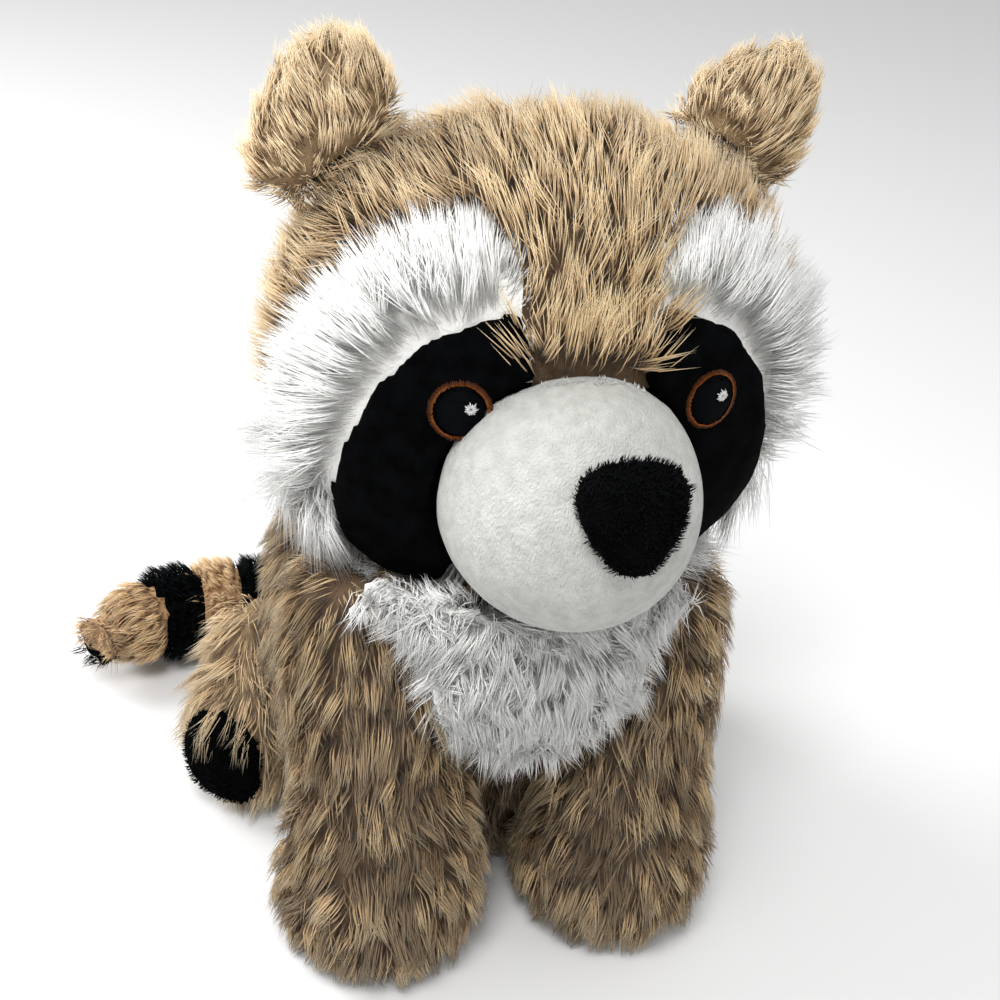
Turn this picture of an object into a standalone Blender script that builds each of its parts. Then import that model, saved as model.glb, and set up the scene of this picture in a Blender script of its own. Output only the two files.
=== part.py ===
"""A plush raccoon sitting upright: long fur fabric over fibre stuffing, with a short white muzzle.

Units are metres. +Z is up, the raccoon faces -Y and its right side is at -X. The origin lies on the
flat seat under its body. Every skin is a shell around its own stuffing, the long fur is raised in
leaning locks, and each piece is trimmed to the ones that it is sewn against.
"""

import math

import bmesh
import bpy
from mathutils import Matrix, Vector
from mathutils.bvhtree import BVHTree

# Fabric
SEAM_GAP = 0.0004
LONG_PILE = 0.008
SHORT_PILE = 0.004

# Body
BODY_WIDTH = 0.152
BODY_DEPTH = 0.140
BODY_HEIGHT = 0.170
BODY_BACK_SET = 0.015
SEAT_CUT = 0.026
SEAT_THICKNESS = 0.005

# Head
HEAD_WIDTH = 0.180
HEAD_DEPTH = 0.124
HEAD_HEIGHT = 0.168
NECK_SINK = 0.046
HEAD_LEAN = 0.006
HEAD_FORWARD = 0.024
RUFF_FLUFF = 0.003

# Face, each place taken from the middle of the head
MUZZLE_WIDTH = 0.083
MUZZLE_DEPTH = 0.094
MUZZLE_HEIGHT = 0.083
MUZZLE_DROP = 0.0185
MUZZLE_SINK = 0.006
MUZZLE_LEAN = 0.004
NOSE_WIDTH = 0.037
NOSE_HEIGHT = 0.033
NOSE_THICKNESS = 0.013
NOSE_RISE = 0.0165
NOSE_SIDE_SET = 0.0035
EYE_SPREAD = 0.039
EYE_RISE = 0.0105
IRIS_WIDTH = 0.0175
IRIS_STRETCH = 1.12
IRIS_THREAD = 0.0022
PUPIL_THICKNESS = 0.0016
GLINT_WIDTH = 0.0040
GLINT_OFFSET = (0.0028, 0.0014)

# Panel edges of one side of the face: outward and up from the middle of the head
MASK_EDGE = [
    (0.023, 0.038),
    (0.046, 0.029),
    (0.060, 0.012),
    (0.068, -0.010),
    (0.070, -0.028),
    (0.065, -0.046),
    (0.052, -0.059),
    (0.036, -0.060),
    (0.032, -0.025),
    (0.026, 0.002),
    (0.018, 0.018),
]
RUFF_EDGE = [
    (0.022, 0.049),
    (0.033, 0.061),
    (0.047, 0.065),
    (0.058, 0.061),
    (0.071, 0.050),
    (0.082, 0.034),
    (0.099, 0.008),
    (0.112, -0.030),
    (0.112, -0.110),
    (SEAM_GAP, -0.110),
    (SEAM_GAP, -0.050),
    (0.010, 0.000),
    (0.019, 0.024),
]
RUFF_BACK_SET = -0.008
RUFF_BACK_SLOPE = -0.42

# Ears
EAR_WIDTH = 0.048
EAR_THICKNESS = 0.024
EAR_HEIGHT = 0.062
EAR_SPREAD = 0.067
EAR_RISE = 0.075
EAR_BACK_SET = 0.010
EAR_TAPER = 0.45
EAR_LEAN = {"right": math.radians(2), "left": math.radians(36)}

# Front legs
PAW_WIDTH = 0.080
PAW_DEPTH = 0.082
PAW_HEIGHT = 0.052
PAW_GAP = 0.007
PAW_FORWARD = 0.007
LEG_THICKNESS = 0.066
SHOULDER_DROP = 0.015
SHOULDER_INSET = 0.024
SHOULDER_SINK = 0.015

# Hind legs
HAUNCH_WIDTH = 0.066
HAUNCH_HEIGHT = 0.088
FOOT_WIDTH = 0.053
FOOT_HEIGHT = 0.060
HIP_INSET = 0.029
HIP_BACK_SET = 0.060
FOOT_OUTSET = 0.014
FOOT_BACK_SET = 0.008
SOLE_THICKNESS = 0.012

# Tail
TAIL_THICKNESS = 0.046
TAIL_SWING = math.radians(68)
TAIL_CURL = math.radians(112)
TAIL_INSET = 0.017
TAIL_SIDE_SET = 0.000
TAIL_ROOT_LENGTH = 0.070
BAND_LENGTH = 0.021
TAN_LENGTH = 0.018
TAIL_END_LENGTH = 0.023
TAIL_TIP_LENGTH = 0.006
TAIL_ROUNDING = 0.030

# Bib
BIB_WIDTH = 0.112
BIB_POINT = 0.082
BIB_LENGTH = 0.078
BIB_FORWARD = 0.038
BIB_ROUND_WIDTH = 0.124
BIB_ROUND_DEPTH = 0.124
BIB_ROUND_HEIGHT = 0.150

# Locks of fur: how far a tip stands out, and how far it lies along the pile
CROWN_LOCK = (0.0045, 0.0070)
RUFF_LOCK = (0.0060, 0.0110)
BODY_LOCK = (0.0040, 0.0075)
TAIL_LOCK = (0.0022, 0.0045)
EAR_LOCK = (0.0040, 0.0070)

# Worked out from the sizes above
BODY_SQUARENESS = 2.5
HEAD_SQUARENESS = 2.3
MASK_SINK = LONG_PILE - SHORT_PILE
BODY_CENTRE = Vector((0.0, BODY_BACK_SET, (BODY_HEIGHT - SEAT_CUT) / 2))
BODY_RADII = Vector((BODY_WIDTH, BODY_DEPTH, BODY_HEIGHT + SEAT_CUT)) / 2
BODY_FRONT = BODY_BACK_SET - BODY_DEPTH / 2
BODY_BACK = BODY_BACK_SET + BODY_DEPTH / 2
HEAD_CENTRE = Vector((HEAD_LEAN, -HEAD_FORWARD, BODY_HEIGHT - NECK_SINK + HEAD_HEIGHT / 2))
HEAD_RADII = Vector((HEAD_WIDTH, HEAD_DEPTH, HEAD_HEIGHT)) / 2
MUZZLE_CENTRE = HEAD_CENTRE + Vector((-MUZZLE_LEAN, MUZZLE_SINK - HEAD_DEPTH / 2, -MUZZLE_DROP))
MUZZLE_RADII = Vector((MUZZLE_WIDTH, MUZZLE_DEPTH, MUZZLE_HEIGHT)) / 2
LEG_HEIGHT = BODY_HEIGHT - SHOULDER_DROP
SIDES = {"right": -1, "left": 1}
DOWN = Vector((0.0, 0.0, -1.0))
UP = Vector((0.0, 0.0, 1.0))


def clear_scene():
    for thing in list(bpy.data.objects):
        bpy.data.objects.remove(thing)


def fabric(name, colour, roughness):
    material = bpy.data.materials.new(name)
    material.use_nodes = True
    shader = material.node_tree.nodes["Principled BSDF"]
    shader.inputs["Base Color"].default_value = (*colour, 1.0)
    shader.inputs["Roughness"].default_value = roughness
    shader.inputs["Metallic"].default_value = 0.0
    return material


def stand(name, shape):
    """Puts a bmesh in the scene as an object, with each bent quad split the same way in every like form."""
    bmesh.ops.triangulate(shape, faces=shape.faces, quad_method="FIXED")
    mesh = bpy.data.meshes.new(name)
    shape.to_mesh(mesh)
    shape.free()
    thing = bpy.data.objects.new(name, mesh)
    bpy.context.scene.collection.objects.link(thing)
    return thing


def guide(name, shape):
    """A form that only trims its neighbours."""
    thing = stand(name, shape)
    thing.hide_render = True
    thing.display_type = "WIRE"
    return thing


def sewn(name, shape, material):
    """A piece of the toy."""
    thing = stand(name, shape)
    thing.data.materials.append(material)
    return thing


def carve(piece, operation, tools):
    """Applies one exact Boolean for each tool and drops the crumbs that it leaves."""
    for tool in tools:
        cut = piece.modifiers.new(tool.name, "BOOLEAN")
        cut.operation = operation
        cut.solver = "EXACT"
        cut.use_self = True
        cut.object = tool
    graph = bpy.context.evaluated_depsgraph_get()
    shaped = bpy.data.meshes.new_from_object(piece.evaluated_get(graph))
    piece.modifiers.clear()
    piece.data = shaped
    drop_crumbs(shaped)


def drop_crumbs(mesh):
    shape = bmesh.new()
    shape.from_mesh(mesh)
    unseen = set(shape.verts)
    groups = []
    while unseen:
        group = set()
        edge = [unseen.pop()]
        while edge:
            vertex = edge.pop()
            group.add(vertex)
            for link in vertex.link_edges:
                other = link.other_vert(vertex)
                if other in unseen:
                    unseen.remove(other)
                    edge.append(other)
        groups.append(group)
    groups.sort(key=len)
    spare = [vertex for group in groups[:-1] for vertex in group]
    bmesh.ops.delete(shape, geom=spare, context="VERTS")
    shape.to_mesh(mesh)
    shape.free()


def cut_level(shape, floor):
    """Cuts a form off at a height and closes it with one flat face."""
    crossing = [face for face in shape.faces if len({vertex.co.z > floor for vertex in face.verts}) == 2]
    bmesh.ops.triangulate(shape, faces=crossing, quad_method="FIXED")
    everything = shape.verts[:] + shape.edges[:] + shape.faces[:]
    cut = bmesh.ops.bisect_plane(
        shape, geom=everything, plane_co=(0.0, 0.0, floor), plane_no=DOWN, clear_outer=True
    )
    rim = [item for item in cut["geom_cut"] if isinstance(item, bmesh.types.BMEdge)]
    bmesh.ops.edgeloop_fill(shape, edges=rim)
    bmesh.ops.recalc_face_normals(shape, faces=shape.faces)


def ball(centre, radii, squareness=2.0, cuts=6, turn=None, floor=None):
    """A cube cut into an even grid and pushed out to a rounded form, with a flat base where it has a floor."""
    shape = bmesh.new()
    bmesh.ops.create_cube(shape, size=2.0)
    bmesh.ops.subdivide_edges(shape, edges=shape.edges[:], cuts=cuts, use_grid_fill=True)
    for vertex in shape.verts:
        way = Vector([math.tan(value * math.pi / 4) for value in vertex.co]).normalized()
        reach = sum(abs(part / radius) ** squareness for part, radius in zip(way, radii))
        vertex.co = way * reach ** (-1 / squareness)
    place = Matrix.Translation(centre)
    if turn:
        place = place @ turn
    bmesh.ops.transform(shape, matrix=place, verts=shape.verts)
    if floor is not None:
        cut_level(shape, floor)
    return shape


def ring_frame(ring):
    """The matrix that takes a unit circle to a ring, given as its centre and its two half axes."""
    centre, side, rise = ring
    axis = side.cross(rise).normalized()
    frame = Matrix((side, rise, axis)).transposed().to_4x4()
    frame.translation = centre
    return frame


def loft(rings, segments=10):
    """A closed sleeve through rings, drawn out from one circle."""
    shape = bmesh.new()
    bmesh.ops.create_circle(shape, cap_ends=True, segments=segments, radius=1.0)
    bmesh.ops.transform(shape, matrix=ring_frame(rings[0]), verts=shape.verts)
    shape.faces.ensure_lookup_table()
    start = cap = shape.faces[0]
    for before, after in zip(rings, rings[1:]):
        drawn = bmesh.ops.extrude_face_region(shape, geom=[cap])["geom"]
        corners = [item for item in drawn if isinstance(item, bmesh.types.BMVert)]
        move = ring_frame(after) @ ring_frame(before).inverted()
        bmesh.ops.transform(shape, matrix=move, verts=corners)
        if cap is not start:
            bmesh.ops.delete(shape, geom=[cap], context="FACES_ONLY")
        cap = next(item for item in drawn if isinstance(item, bmesh.types.BMFace))
    bmesh.ops.recalc_face_normals(shape, faces=shape.faces)
    return shape


def grown_outline(points, grow):
    """The outline with every point moved out by the given width."""
    area = sum(a.x * b.y - b.x * a.y for a, b in zip(points, points[1:] + points[:1]))
    turn = 1 if area > 0 else -1
    moved = []
    for index, point in enumerate(points):
        along = points[(index + 1) % len(points)] - points[index - 1]
        moved.append(point + Vector((along.y, -along.x)).normalized() * grow * turn)
    return moved


def prism(outline, side, centre, back, slope=0.0):
    """A front-view outline pushed forward, from a back plane that leans with height."""
    shape = bmesh.new()
    front = centre.y - HEAD_DEPTH * 2
    corners = [
        shape.verts.new((centre.x + side * point.x, centre.y + back + slope * point.y, centre.z + point.y))
        for point in outline
    ]
    face = shape.faces.new(corners)
    drawn = bmesh.ops.extrude_face_region(shape, geom=[face])["geom"]
    for item in drawn:
        if isinstance(item, bmesh.types.BMVert):
            item.co.y = front
    bmesh.ops.recalc_face_normals(shape, faces=shape.faces)
    return shape


def away_from(point):
    """Fur that lies outward from a point."""
    return lambda place: place - point


def along(way):
    """Fur that lies in one direction."""
    return lambda place: way


def raise_locks(shape, lock, lie, keep_off):
    """Draws the middle of each open face out into the tip of a leaning lock of fur, and leaves flat ends bare."""
    height, length = lock
    trees = [BVHTree.FromPolygons(*polygons(other)) for other in keep_off]
    tips = {}
    for face in shape.faces:
        if len(face.verts) > 4:
            continue
        centre = face.calc_center_median()
        flow = lie(centre)
        flow = flow - face.normal * flow.dot(face.normal)
        tip = centre + face.normal * height
        if flow.length > 0:
            tip += flow.normalized() * length
        corners = [vertex.co for vertex in face.verts]
        if tip.z < 2 * SEAM_GAP or any(covered(tree, corner, SEAM_GAP) for tree in trees for corner in corners):
            continue
        if any(covered(tree, spot, height + SEAM_GAP) for tree in trees for spot in (centre, tip)):
            continue
        tips[face] = tip
    for face, tip in tips.items():
        bmesh.ops.poke(shape, faces=[face])["verts"][0].co = tip
    return shape


def polygons(thing):
    corners = [vertex.co.copy() for vertex in thing.data.vertices]
    return corners, [tuple(face.vertices) for face in thing.data.polygons]


def covered(tree, spot, room):
    """Whether a spot lies inside a closed form, or within the given room of its surface."""
    nearest, normal, _, distance = tree.find_nearest(spot)
    straight_in = (spot - nearest).dot(normal) < -0.9 * distance
    return straight_in or distance < room


def grown(radii, grow):
    return radii + Vector((grow, grow, grow))


def head_form(grow=0.0, cuts=6):
    return ball(HEAD_CENTRE, grown(HEAD_RADII, grow), HEAD_SQUARENESS, cuts)


def muzzle_form(grow=0.0, cuts=5):
    return ball(MUZZLE_CENTRE, grown(MUZZLE_RADII, grow), cuts=cuts)


def body_form(grow=0.0, cuts=5, floor=None):
    return ball(BODY_CENTRE, grown(BODY_RADII, grow), BODY_SQUARENESS, cuts, floor=floor)


def ear_form(side, grow=0.0):
    """A flat pouch, narrower towards its top, standing on the upper corner of the head."""
    radii = grown(Vector((EAR_WIDTH, EAR_THICKNESS, EAR_HEIGHT)) / 2, grow)
    shape = ball(Vector(), radii, 2.2, 2)
    for vertex in shape.verts:
        vertex.co.x *= 1 - EAR_TAPER * vertex.co.z / radii.z
    middle = HEAD_CENTRE + Vector((SIDES[side] * EAR_SPREAD, EAR_BACK_SET, EAR_RISE))
    turn = Matrix.Rotation(EAR_LEAN[side], 4, "Y")
    bmesh.ops.transform(shape, matrix=Matrix.Translation(middle) @ turn, verts=shape.verts)
    return shape


def panel(edge, side, grow=0.0, back=0.0, slope=0.0):
    """The space in front of a face panel, out to its sewn edge."""
    outline = grown_outline([Vector(point) for point in edge], grow)
    return prism(outline, SIDES[side], HEAD_CENTRE, back + grow, slope)


def ruff_panel(side, grow=0.0):
    return panel(RUFF_EDGE, side, grow, RUFF_BACK_SET, RUFF_BACK_SLOPE)


def mask_panel(side, grow=0.0):
    return panel(MASK_EDGE, side, grow)


def front_leg_form(side, shrink=0.0, floor=0.0):
    """A straight leg: a broad paw flat on the floor, a narrower shank, and a shoulder that rounds off."""
    sections = [
        (0.0, PAW_WIDTH * 0.42, PAW_DEPTH * 0.42),
        (PAW_HEIGHT * 0.25, PAW_WIDTH * 0.49, PAW_DEPTH * 0.49),
        (PAW_HEIGHT * 0.60, PAW_WIDTH * 0.50, PAW_DEPTH * 0.50),
        (PAW_HEIGHT, PAW_WIDTH * 0.45, PAW_DEPTH * 0.44),
        (LEG_HEIGHT * 0.50, LEG_THICKNESS * 0.49, LEG_THICKNESS * 0.49),
        (LEG_HEIGHT * 0.68, LEG_THICKNESS * 0.51, LEG_THICKNESS * 0.51),
        (LEG_HEIGHT * 0.84, LEG_THICKNESS * 0.48, LEG_THICKNESS * 0.48),
        (LEG_HEIGHT * 0.94, LEG_THICKNESS * 0.36, LEG_THICKNESS * 0.36),
        (LEG_HEIGHT, LEG_THICKNESS * 0.15, LEG_THICKNESS * 0.15),
    ]
    paw = Vector((PAW_WIDTH / 2 + PAW_GAP / 2, BODY_FRONT - PAW_FORWARD))
    shoulder = Vector((BODY_WIDTH / 2 - SHOULDER_INSET, BODY_FRONT + SHOULDER_SINK))
    rings = []
    for height, half_width, half_depth in sections:
        share = min(max((height - PAW_HEIGHT) / (LEG_HEIGHT - PAW_HEIGHT), 0.0), 1.0)
        middle = paw.lerp(shoulder, share)
        least = LEG_THICKNESS * 0.05
        rings.append(
            (
                Vector((SIDES[side] * middle.x, middle.y, height)),
                Vector((max(half_width - shrink, least), 0.0, 0.0)),
                Vector((0.0, max(half_depth - shrink, least), 0.0)),
            )
        )
    rings[0][0].z = floor
    rings[-1][0].z -= shrink
    return loft(rings)


def hind_leg_line(side):
    """The middle line of the hind leg, from the hip at the back to the sole in front."""
    hip = Vector((SIDES[side] * (BODY_WIDTH / 2 - HIP_INSET), HIP_BACK_SET, 0.0))
    foot = Vector((SIDES[side] * (BODY_WIDTH / 2 + FOOT_OUTSET), FOOT_BACK_SET, 0.0))
    return hip, foot


def hind_leg_form(side, shrink=0.0, floor=None):
    """A haunch that runs forward and outward into a foot, both lying on the floor."""
    hip, foot = hind_leg_line(side)
    ahead = (foot - hip).normalized()
    across = ahead.cross(UP)
    sections = [
        (0.00, HAUNCH_WIDTH * 0.24, HAUNCH_HEIGHT * 0.26),
        (0.12, HAUNCH_WIDTH * 0.42, HAUNCH_HEIGHT * 0.42),
        (0.30, HAUNCH_WIDTH * 0.50, HAUNCH_HEIGHT * 0.50),
        (0.50, HAUNCH_WIDTH * 0.48, HAUNCH_HEIGHT * 0.48),
        (0.70, FOOT_WIDTH * 0.52, FOOT_HEIGHT * 0.56),
        (0.88, FOOT_WIDTH * 0.50, FOOT_HEIGHT * 0.50),
        (1.00, FOOT_WIDTH * 0.40, FOOT_HEIGHT * 0.42),
    ]
    rings = []
    for share, half_width, half_height in sections:
        middle = hip.lerp(foot, share) + UP * max(half_height * 0.94, FOOT_HEIGHT * 0.44)
        rings.append((middle, across * (half_width - shrink), UP * (half_height - shrink)))
    rings[0][0].xyz += ahead * shrink
    rings[-1][0].xyz -= ahead * shrink
    shape = loft(rings)
    if floor is not None:
        cut_level(shape, floor)
    return shape


TAIL_PARTS = [
    ("tail_root", TAIL_ROOT_LENGTH, "tan"),
    ("tail_band_inner", BAND_LENGTH, "black"),
    ("tail_middle", TAN_LENGTH, "tan"),
    ("tail_band_outer", BAND_LENGTH, "black"),
    ("tail_end", TAIL_END_LENGTH, "tan"),
    ("tail_tip", TAIL_TIP_LENGTH, "black"),
]
TAIL_LENGTH = sum(length for _, length, _ in TAIL_PARTS)


def tail_ring(reach, shrink):
    """The tail's round section a given way along it, from the back of the body out to the right."""
    curl = TAIL_CURL / TAIL_LENGTH
    heading = TAIL_SWING - curl * reach
    middle = Vector(
        (
            -TAIL_SIDE_SET - (math.sin(TAIL_SWING) - math.sin(heading)) / curl,
            BODY_BACK - TAIL_INSET + (math.cos(heading) - math.cos(TAIL_SWING)) / curl,
            TAIL_THICKNESS / 2,
        )
    )
    past = max(reach - (TAIL_LENGTH - TAIL_ROUNDING), 0.0) / TAIL_ROUNDING
    radius = TAIL_THICKNESS / 2 * math.sqrt(1 - 0.93 * past**2) - shrink
    across = Vector((math.sin(heading), math.cos(heading), 0.0))
    return middle, across * radius, UP * radius


def tail_form(start, end, shrink=0.0):
    """The stretch of the tail between two distances along it."""
    steps = max(1, round((end - start) / (TAIL_THICKNESS / 3)))
    reaches = [start + (end - start) * step / steps for step in range(steps + 1)]
    return loft([tail_ring(reach, shrink) for reach in reaches], 8)


def bib_form():
    """The rounded space that the chest fur fills, before it is cut to its edge."""
    radii = Vector((BIB_ROUND_WIDTH, BIB_ROUND_DEPTH, BIB_ROUND_HEIGHT)) / 2
    middle = Vector((0.0, BODY_FRONT - BIB_FORWARD + radii.y, BIB_POINT + BIB_ROUND_HEIGHT * 0.36))
    return ball(middle, radii, 2.4, 5)


def bib_panel():
    """The bib's edge: wide under the chin, narrowing to a point between the front legs."""
    half = [(0.12, 0.06), (0.30, 0.22), (0.41, 0.42), (0.48, 0.66), (0.50, 0.95)]
    right = [Vector((BIB_WIDTH * x, BIB_POINT + BIB_LENGTH * z)) for x, z in half]
    left = [Vector((-point.x, point.y)) for point in reversed(right)]
    point = [Vector((0.0, BIB_POINT))]
    return prism(point + right + left, 1, Vector((0.0, 0.0, 0.0)), 0.0)


def face_frame(out, up):
    """A frame on the mask's surface: side, up and straight out of the face."""
    radii = grown(HEAD_RADII, -MASK_SINK)
    power = HEAD_SQUARENESS
    left_over = 1 - abs(out / radii.x) ** power - abs(up / radii.z) ** power
    spot = Vector((out, -radii.y * left_over ** (1 / power), up))
    slope = [math.copysign(abs(part / radius) ** (power - 1) / radius, part) for part, radius in zip(spot, radii)]
    normal = Vector(slope).normalized()
    rise = (UP - normal * normal.z).normalized()
    frame = Matrix((rise.cross(normal), rise, normal)).transposed().to_4x4()
    frame.translation = HEAD_CENTRE + spot
    return frame


def iris_form():
    """A satin-stitched ring, a little taller than it is wide."""
    shape = bmesh.new()
    bmesh.ops.create_circle(shape, segments=5, radius=IRIS_THREAD / 2)
    upright = Matrix.Rotation(math.pi / 2, 4, "X")
    outward = Matrix.Translation((IRIS_WIDTH / 2 - IRIS_THREAD / 2, 0.0, 0.0))
    bmesh.ops.transform(shape, matrix=outward @ upright, verts=shape.verts)
    section = shape.verts[:] + shape.edges[:]
    bmesh.ops.spin(
        shape, geom=section, cent=(0, 0, 0), axis=(0, 0, 1), angle=math.tau, steps=18, use_merge=True
    )
    bmesh.ops.recalc_face_normals(shape, faces=shape.faces)
    bmesh.ops.scale(shape, vec=(1.0, IRIS_STRETCH, 1.0), verts=shape.verts)
    return shape


def spot_form(half_width, stretch, height, segments, offset=(0.0, 0.0), depth=3 * PUPIL_THICKNESS):
    """A flat round patch of stitching that stands through the mask's surface."""
    return loft(
        [
            (Vector((*offset, level)), Vector((half_width, 0.0, 0.0)), Vector((0.0, half_width * stretch, 0.0)))
            for level in (-depth, height)
        ],
        segments,
    )


def nose_form():
    """A padded triangle with soft corners, broad at the top, laid on the muzzle's upper front."""
    radii = Vector((NOSE_WIDTH, NOSE_THICKNESS, NOSE_HEIGHT)) / 2
    shape = ball(Vector(), radii, 2.3, 3)
    for vertex in shape.verts:
        vertex.co.x *= 0.86 + 0.34 * vertex.co.z / radii.z
    share = NOSE_RISE / MUZZLE_RADII.z
    spot = Vector((NOSE_SIDE_SET, -MUZZLE_RADII.y * math.sqrt(1 - share**2), NOSE_RISE))
    tilt = math.atan2(spot.z / MUZZLE_RADII.z**2, -spot.y / MUZZLE_RADII.y**2)
    turn = Matrix.Rotation(-tilt, 4, "X")
    bmesh.ops.transform(shape, matrix=Matrix.Translation(MUZZLE_CENTRE + spot) @ turn, verts=shape.verts)
    return shape


def sole_form(side):
    """The short-pile oval on the end of the foot."""
    hip, foot = hind_leg_line(side)
    ahead = (foot - hip).normalized()
    radii = Vector((FOOT_WIDTH * 0.34, SOLE_THICKNESS / 2, FOOT_HEIGHT * 0.37))
    turn = Matrix((ahead.cross(UP), ahead, UP)).transposed().to_4x4()
    return ball(foot + UP * FOOT_HEIGHT * 0.46, radii, 2.2, 3, turn, floor=0.0)


def make_guides():
    """Each neighbour's own form, the space that it needs, and the hollow inside its skin."""
    guides = {
        "head": guide("head_guide", head_form()),
        "head_space": guide("head_space", head_form(SEAM_GAP)),
        "head_hollow": guide("head_hollow", head_form(-LONG_PILE, 3)),
        "mask_space": guide("mask_space", head_form(SEAM_GAP - MASK_SINK, 8)),
        "muzzle": guide("muzzle_guide", muzzle_form()),
        "muzzle_space": guide("muzzle_space", muzzle_form(SEAM_GAP)),
        "muzzle_hollow": guide("muzzle_hollow", muzzle_form(-SHORT_PILE, 3)),
        "body": guide("body_guide", body_form()),
        "body_space": guide("body_space", body_form(SEAM_GAP)),
        "body_hollow": guide("body_hollow", body_form(-LONG_PILE, 3, SEAT_THICKNESS)),
        "bib": guide("bib_guide", bib_form()),
        "bib_panel": guide("bib_panel", bib_panel()),
        "tail": guide("tail_guide", tail_form(0.0, TAIL_LENGTH)),
        "tail_hollow": guide("tail_hollow", tail_form(-SEAM_GAP, TAIL_LENGTH - TAIL_ROUNDING / 2, LONG_PILE)),
    }
    carve(guides["bib"], "INTERSECT", [guides["bib_panel"]])
    for side in SIDES:
        guides["ear_" + side] = guide("ear_guide_" + side, ear_form(side))
        for part, form in (("ruff", ruff_panel), ("mask", mask_panel)):
            guides[f"{part}_panel_{side}"] = guide(f"{part}_panel_{side}", form(side))
            guides[f"{part}_opening_{side}"] = guide(f"{part}_opening_{side}", form(side, SEAM_GAP))
        ruff_space = guide("ruff_space_" + side, head_form(RUFF_FLUFF + SEAM_GAP))
        carve(ruff_space, "INTERSECT", [guides["ruff_opening_" + side]])
        guides["ruff_space_" + side] = ruff_space
        for part, form in (("front_leg", front_leg_form), ("hind_leg", hind_leg_form)):
            name = f"{part}_{{}}_{side}"
            guides[f"{part}_{side}"] = guide(name.format("guide"), form(side))
            guides[f"{part}_space_{side}"] = guide(name.format("space"), form(side, -SEAM_GAP, -SEAM_GAP))
            guides[f"{part}_hollow_{side}"] = guide(name.format("hollow"), form(side, LONG_PILE, SEAT_THICKNESS))
        guides["sole_" + side] = guide("sole_guide_" + side, sole_form(side))
    return guides


def make_head(guides, finish):
    body_side = [guides[name] for name in ("body", "bib")]
    body_side += [guides[f"front_leg_{side}"] for side in SIDES]
    whorl = HEAD_CENTRE + Vector((0.0, -HEAD_RADII.y * 0.9, HEAD_RADII.z * 0.6))
    ears = [guides["ear_" + side] for side in SIDES]
    furry = raise_locks(head_form(), CROWN_LOCK, away_from(whorl), body_side + ears)
    crown = sewn("head_crown", furry, finish["brown"])
    openings = [guides[f"{part}_opening_{side}"] for part in ("ruff", "mask") for side in SIDES]
    carve(crown, "DIFFERENCE", [guides["head_hollow"], *openings, guides["muzzle_space"]])
    for side, sign in SIDES.items():
        eye = HEAD_CENTRE + Vector((sign * EYE_SPREAD, -HEAD_RADII.y, EYE_RISE))
        furry = raise_locks(head_form(RUFF_FLUFF), RUFF_LOCK, away_from(eye), body_side)
        ruff = sewn("cheek_ruff_" + side, furry, finish["white"])
        carve(ruff, "INTERSECT", [guides["ruff_panel_" + side]])
        inner = [guides["head_hollow"], guides["mask_opening_" + side], guides["muzzle_space"]]
        carve(ruff, "DIFFERENCE", inner)
        mask = sewn("eye_mask_" + side, head_form(-MASK_SINK, 8), finish["black"])
        carve(mask, "INTERSECT", [guides["mask_panel_" + side]])
        carve(mask, "DIFFERENCE", [guides["head_hollow"], guides["muzzle_space"]])
    sewn("head_stuffing", head_form(-LONG_PILE - SEAM_GAP, 3), finish["fibre"])


def make_muzzle(guides, finish):
    muzzle = sewn("muzzle", muzzle_form(), finish["short white"])
    carve(muzzle, "DIFFERENCE", [guides["muzzle_hollow"], guides["head_hollow"]])
    stuffing = sewn("muzzle_stuffing", muzzle_form(-SHORT_PILE - SEAM_GAP, 3), finish["fibre"])
    carve(stuffing, "DIFFERENCE", [guides["head_hollow"]])
    nose = sewn("nose", nose_form(), finish["velvet"])
    carve(nose, "DIFFERENCE", [guides["muzzle_space"]])


def make_eyes(guides, finish):
    under = [guides["mask_space"], guides["muzzle_space"]]
    pupil_half = IRIS_WIDTH / 2 - IRIS_THREAD - SEAM_GAP
    glint_top = PUPIL_THICKNESS + SEAM_GAP
    for side, sign in SIDES.items():
        frame = face_frame(sign * EYE_SPREAD, EYE_RISE)
        iris = sewn("iris_ring_" + side, iris_form(), finish["copper"])
        pupil = sewn("pupil_" + side, spot_form(pupil_half, IRIS_STRETCH, PUPIL_THICKNESS, 16), finish["thread"])
        glint_half = GLINT_WIDTH / 2
        glint = sewn(
            "eye_glint_" + side, spot_form(glint_half, 1.0, glint_top, 8, GLINT_OFFSET), finish["white thread"]
        )
        hole = guide(
            "glint_space_" + side,
            spot_form(glint_half + SEAM_GAP, 1.0, glint_top + SEAM_GAP, 8, GLINT_OFFSET, 4 * PUPIL_THICKNESS),
        )
        for thing in (iris, pupil, glint, hole):
            thing.data.transform(frame)
        carve(pupil, "DIFFERENCE", [hole])
        for thing in (iris, pupil, glint):
            carve(thing, "DIFFERENCE", under)


def make_ears(guides, finish):
    for side, sign in SIDES.items():
        root = HEAD_CENTRE + Vector((sign * EAR_SPREAD, EAR_BACK_SET, EAR_RISE - EAR_HEIGHT / 2))
        furry = raise_locks(ear_form(side), EAR_LOCK, away_from(root), [guides["head"]])
        ear = sewn("ear_" + side, furry, finish["brown"])
        carve(ear, "DIFFERENCE", [guides["head_space"]])


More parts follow.
